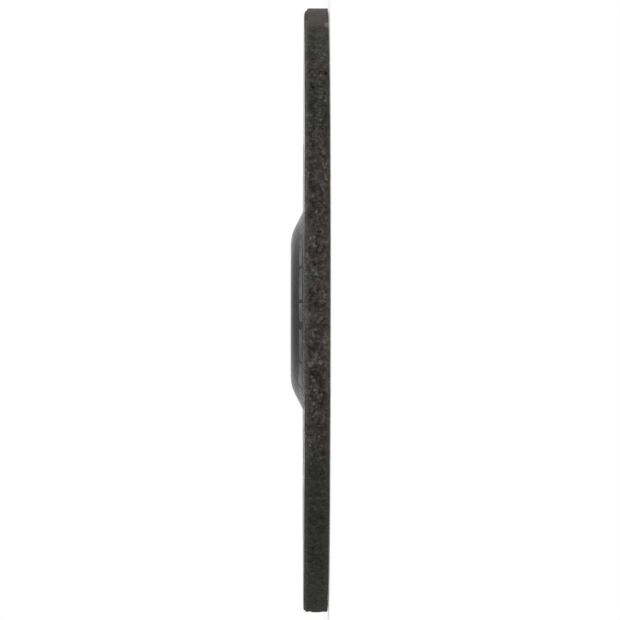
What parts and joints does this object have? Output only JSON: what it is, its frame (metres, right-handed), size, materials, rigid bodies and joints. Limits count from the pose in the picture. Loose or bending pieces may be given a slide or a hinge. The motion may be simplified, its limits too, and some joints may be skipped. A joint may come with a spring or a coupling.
{
  "type": "grinding disc",
  "caption": "Depressed-centre grinding disc with a raised hub, a recess for the clamping nut, a steel-lined bore and a chipped back edge.",
  "frame": {"origin": "centre of the grinding face, on the surface that the disc lies on", "axes": "+Z along the axis that the disc spins about, from the grinding face towards the boss; +X towards the chipped part of the back edge"},
  "size_m": [0.18, 0.18, 0.0113],
  "materials": {
    "abrasive": "matte",
    "ring_steel": "satin",
    "label_paper": "satin"
  },
  "bodies": {
    "root": {"abrasive_disc": "abrasive", "bore_ring": "ring_steel", "label": "label_paper"}
  },
  "joints": []
}
